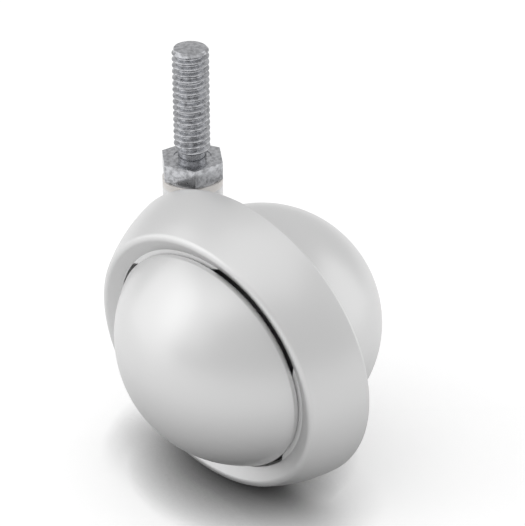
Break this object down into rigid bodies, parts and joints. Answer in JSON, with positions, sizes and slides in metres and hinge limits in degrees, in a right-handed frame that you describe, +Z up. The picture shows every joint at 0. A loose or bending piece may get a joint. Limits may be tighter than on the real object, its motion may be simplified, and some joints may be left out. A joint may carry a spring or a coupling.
{
  "type": "swivel ball castor with threaded stem",
  "caption": "Silver ball castor: a dished round-tread wheel with a domed hub cap turns on a ball-shaped hood, which swivels under a threaded stem with a hexagon.",
  "frame": {"origin": "on the stem's axis, at the hexagon's top face, which seats against the furniture", "axes": "+Z up along the stem, +X from the stem towards the ball's centre, -Y out through the hub cap"},
  "size_m": [0.0709, 0.0606, 0.0959],
  "materials": {
    "lacquered_casting": "satin silver lacquer on a zinc casting",
    "lacquered_sheet": "satin silver lacquer on drawn steel sheet",
    "zinc_steel": "turned steel, clear zinc plated",
    "plain_steel": "plain steel, lightly oiled",
    "white_nylon": "moulded nylon, satin"
  },
  "bodies": {
    "stem": {"threaded_stem": "zinc_steel", "swivel_thrust_washer": "zinc_steel", "stem_keeper_washer": "plain_steel", "stem_retaining_ring": "plain_steel"},
    "hood": {"hood": "lacquered_casting", "swivel_bush_upper": "white_nylon", "swivel_bush_lower": "white_nylon", "axle": "plain_steel", "axle_inner_washer": "plain_steel", "axle_outer_washer": "plain_steel", "axle_retaining_ring": "plain_steel"},
    "wheel": {"wheel": "lacquered_casting", "wheel_bush_inner": "white_nylon", "wheel_bush_outer": "white_nylon", "hub_cap": "lacquered_sheet"}
  },
  "joints": [
    {"name": "swivel", "type": "hinge", "parent": "stem", "child": "hood", "pos_m": [0, 0, 0], "axis": [0, 0, 1], "continuous": true},
    {"name": "roll", "type": "hinge", "parent": "hood", "child": "wheel", "pos_m": [0.02055, 0, -0.03411], "axis": [0, -0.9965, -0.0837], "continuous": true}
  ]
}
